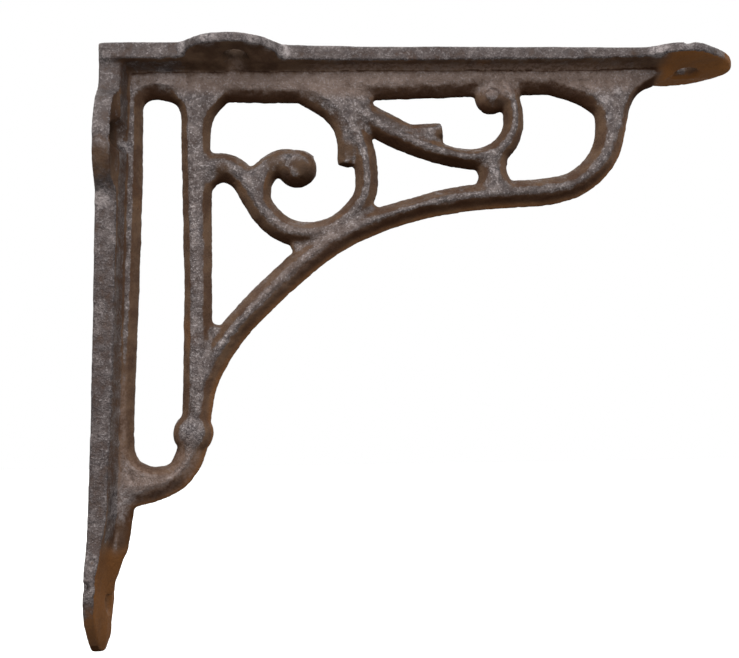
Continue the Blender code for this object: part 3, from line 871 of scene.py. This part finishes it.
def castIronFinish():
    material = bpy.data.materials.new("castIron")
    material.use_nodes = True
    nodes, link = material.node_tree.nodes, material.node_tree.links.new
    shader = nodes["Principled BSDF"]
    where = nodes.new("ShaderNodeTexCoord").outputs["Object"]

    def grain(size, detail, rough):
        made = nodes.new("ShaderNodeTexNoise")
        made.inputs["Scale"].default_value = 1 / (size * mm)
        made.inputs["Detail"].default_value = detail
        made.inputs["Roughness"].default_value = rough
        link(where, made.inputs["Vector"])
        return made.outputs["Fac"]

    def mask(name):
        made = nodes.new("ShaderNodeAttribute")
        made.attribute_name = name
        return made.outputs["Fac"]

    def spread(value, low, high, toLow=0.0, toHigh=1.0):
        made = nodes.new("ShaderNodeMapRange")
        made.interpolation_type = "SMOOTHSTEP"
        for socket, number in zip(("From Min", "From Max", "To Min", "To Max"), (low, high, toLow, toHigh)):
            made.inputs[socket].default_value = number
        link(value, made.inputs["Value"])
        return made.outputs["Result"]

    def maths(operation, first, second):
        made = nodes.new("ShaderNodeMath")
        made.operation = operation
        for socket, value in zip(made.inputs, (first, second)):
            if isinstance(value, (int, float)):
                socket.default_value = value
            else:
                link(value, socket)
        return made.outputs["Value"]

    def blend(share, first, second):
        made = nodes.new("ShaderNodeMix")
        made.data_type = "RGBA"
        link(share, made.inputs["Factor"])
        for socket, colour in ((made.inputs["A"], first), (made.inputs["B"], second)):
            if isinstance(colour, tuple):
                socket.default_value = (*colour, 1.0)
            else:
                link(colour, socket)
        return made.outputs["Result"]

    of = {name: grain(*settings) for name, settings in finish["grains"].items()}
    of.update((name, mask(name)) for name in finish["masks"])

    def weighed(weights):
        total = None
        for name, weight in weights.items():
            part = of[name] if weight == 1 else maths("MULTIPLY", of[name], weight)
            total = part if total is None else maths("ADD", total, part)
        return total

    bare = spread(weighed(finish["bare"]), *finish["bareRise"])
    overGlints = maths("MULTIPLY", of["tanAndLight"], finish["tanAndLightOverGlints"])
    overGlints = maths("MAXIMUM", overGlints, maths("MULTIPLY", of["dull"], finish["dullOverGlints"]))
    # painted glints on the bare metal
    glints = maths("MULTIPLY", spread(weighed(finish["sparkle"]), *finish["glintRise"]), bare)
    glints = maths("MULTIPLY", glints, maths("SUBTRACT", 1.0, overGlints))
    # painted highlights in the lighter patches
    highlighted = maths("MULTIPLY", of["paintedHighlight"], spread(of["middle"], *finish["highlightRise"]))
    glints = maths("MAXIMUM", glints, highlighted)

    skinColour = blend(spread(of["mottle"], *finish["tanRise"]), finish["brown"], finish["tan"])
    # rust and the painted warm glow, with random stains
    rusty = maths("MULTIPLY", of["rustAndGlow"], spread(of["stain"], *finish["rustRise"]))
    rusty = maths("MAXIMUM", rusty, spread(of["stain"], *finish["stainRise"]))
    skinColour = blend(rusty, skinColour, finish["rustAndGlow"])
    # a lighter tan, partly painted light
    tanAndLightSpots = maths("MULTIPLY", of["tanAndLight"], spread(of["middle"], *finish["tanAndLightRise"]))
    skinColour = blend(tanAndLightSpots, skinColour, finish["tanAndLight"])
    # painted shade: darker under the bars, on the dark stretches and over the rust on the pads
    skinColour = blend(maths("MULTIPLY", of["paintedShade"], finish["paintedShadeShare"]), skinColour, finish["paintedShade"])
    # painted shade in creases, in the screw holes and in the darker patches
    skinColour = blend(maths("MULTIPLY", of["hollow"], finish["creaseShadeShare"]), skinColour, finish["creaseShade"])

    light = spread(weighed(finish["lightness"]), *finish["lightRise"])
    metalColour = blend(light, finish["steel"], finish["steelLight"])
    dulled = maths("SUBTRACT", of["dull"], of["paintedHighlight"])
    dulled = maths("MULTIPLY", dulled, spread(of["mottle"], *finish["dullFall"]))
    metalColour = blend(maths("MAXIMUM", dulled, 0.0), metalColour, finish["steel"])
    metalColour = blend(maths("MULTIPLY", of["tanAndLight"], finish["tanAndLightOverMetal"]), metalColour, finish["tanAndLight"])

    colour = blend(bare, skinColour, metalColour)
    link(blend(glints, colour, finish["glint"]), shader.inputs["Base Color"])
    link(maths("MULTIPLY", bare, finish["metallic"]), shader.inputs["Metallic"])
    rough = maths("SUBTRACT", bare, maths("MULTIPLY", of["middle"], finish["grainRoughness"]))
    link(spread(rough, *finish["roughFall"]), shader.inputs["Roughness"])
    overGloss = maths("MAXIMUM", of["paintedShade"], maths("MULTIPLY", of["rustAndGlow"], finish["rustOverGloss"]))
    gloss = maths("MULTIPLY", spread(bare, *finish["glossRise"]), maths("SUBTRACT", 1.0, overGloss))
    link(gloss, shader.inputs["Specular IOR Level"])

    bump = nodes.new("ShaderNodeBump")
    bump.inputs["Strength"].default_value = finish["bumpStrength"]
    bump.inputs["Distance"].default_value = finish["bumpDistance"] * mm
    link(weighed(finish["bumps"]), bump.inputs["Height"])
    link(bump.outputs["Normal"], shader.inputs["Normal"])
    return material


def buildCasting():
    legsShape = buildLegs()
    cutHoles(legsShape)
    print("legs, pads, ears and screw holes made")
    shapes = [legsShape] + [buildBar(name, bar) for name, bar in bars.items()]
    shapes += [buildBead(name, **bead) for name, bead in beads.items()]
    for index, (out, drop, radius) in enumerate(fillets["at"]):
        fillet = (radius, fillets["faceShare"] * radius, fillets["halfDepth"])
        shapes.append(buildBead(f"fillet{index + 1}", (out, drop), *fillet))
    print("bars, beads and fillets made:", len(shapes), "shapes")
    casting = fuse("bracketCasting", shapes)
    print("fused into one casting:", len(casting.data.vertices), "vertices")
    soften(casting)
    castSurface(casting)
    thin(casting)
    print("casting surface made:", countTriangles(casting.data), "triangles")
    markWear(casting)
    casting.data.materials.clear()
    casting.data.materials.append(castIronFinish())
    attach(casting, "root")
    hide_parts("bracket_casting")
    print("finish laid on")


# The camera stands where the photograph was taken from, nearly square on and below the shelf
camera = {
    "at": (0.05336, -0.24063, -0.03053),
    "pan": 3.0044,  # degrees
    "tilt": 7.8292,
    "roll": -0.8685,
    "lens": 47.888,
    "sensor": 36.0,
}


def setCamera():
    data = bpy.data.cameras.new("camera")
    data.lens = camera["lens"]
    data.sensor_width = camera["sensor"]
    viewer = bpy.data.objects.new("camera", data)
    stand = Matrix.Translation(camera["at"])
    for angle, axis in ((-camera["pan"], "Z"), (90 + camera["tilt"], "X"), (camera["roll"], "Z")):
        stand = stand @ Matrix.Rotation(math.radians(angle), 4, axis)
    viewer.matrix_world = stand
    bpy.context.scene.collection.objects.link(viewer)
    bpy.context.scene.camera = viewer


# A plain pale floor and soft light, strong from above and weak from below
studio = {
    "floorGap": 14.0,   # millimetres under the bracket
    "floorSize": 60.0,  # metres
    "floorColour": (0.93, 0.925, 0.915),
    "floorRoughness": 0.9,
    "skySpan": (-0.3, 0.9),
    "skyStrength": (0.34, 1.6),
    "seen": 1.0,  # how bright the background looks to the camera
    "target": (0.06, 0.0, 0.0),  # where the lights point
    "lights": {
        "keyLight": {"at": (-0.35, -0.75, 0.55), "size": 0.6, "watts": 3.0},
        "fillLight": {"at": (0.75, -0.6, 0.25), "size": 0.7, "watts": 1.2},
        "frontLight": {"at": (0.1, -1.2, 0.05), "size": 0.8, "watts": 3.0},
        "rearLight": {"at": (0.2, 0.9, 0.5), "size": 0.7, "watts": 3.0},
    },
}


def setStudio():
    bm = bmesh.new()
    bmesh.ops.create_grid(bm, x_segments=2, y_segments=2, size=studio["floorSize"])
    bmesh.ops.translate(bm, verts=bm.verts, vec=(0, 0, lowCorner.z - studio["floorGap"] * mm))
    floor = shapeObject("floor", bm)
    material = bpy.data.materials.new("paleFloor")
    material.use_nodes = True
    shader = material.node_tree.nodes["Principled BSDF"]
    shader.inputs["Base Color"].default_value = (*studio["floorColour"], 1.0)
    shader.inputs["Roughness"].default_value = studio["floorRoughness"]
    floor.data.materials.append(material)
    floor.visible_diffuse = False
    floor.visible_glossy = False

    world = bpy.data.worlds.new("studio")
    world.use_nodes = True
    nodes, link = world.node_tree.nodes, world.node_tree.links.new
    where = nodes.new("ShaderNodeTexCoord")
    split = nodes.new("ShaderNodeSeparateXYZ")
    height = nodes.new("ShaderNodeMapRange")
    height.interpolation_type = "SMOOTHSTEP"
    numbers = studio["skySpan"] + studio["skyStrength"]
    for socket, number in zip(("From Min", "From Max", "To Min", "To Max"), numbers):
        height.inputs[socket].default_value = number
    link(where.outputs["Generated"], split.inputs["Vector"])
    link(split.outputs["Z"], height.inputs["Value"])
    seen = nodes.new("ShaderNodeMix")
    seen.inputs["B"].default_value = studio["seen"]
    link(nodes.new("ShaderNodeLightPath").outputs["Is Camera Ray"], seen.inputs["Factor"])
    link(height.outputs["Result"], seen.inputs["A"])
    link(seen.outputs["Result"], nodes["Background"].inputs["Strength"])
    nodes["Background"].inputs["Color"].default_value = (1.0, 1.0, 1.0, 1.0)
    bpy.context.scene.world = world

    target = Vector(studio["target"])
    for name, light in studio["lights"].items():
        data = bpy.data.lights.new(name, "AREA")
        data.size = light["size"]
        data.energy = light["watts"]
        lamp = bpy.data.objects.new(name, data)
        lamp.location = light["at"]
        lamp.rotation_euler = (target - lamp.location).to_track_quat("-Z", "Y").to_euler()
        bpy.context.scene.collection.objects.link(lamp)
    bpy.context.scene.view_settings.view_transform = "Standard"


setCamera()
setStudio()
buildCasting()
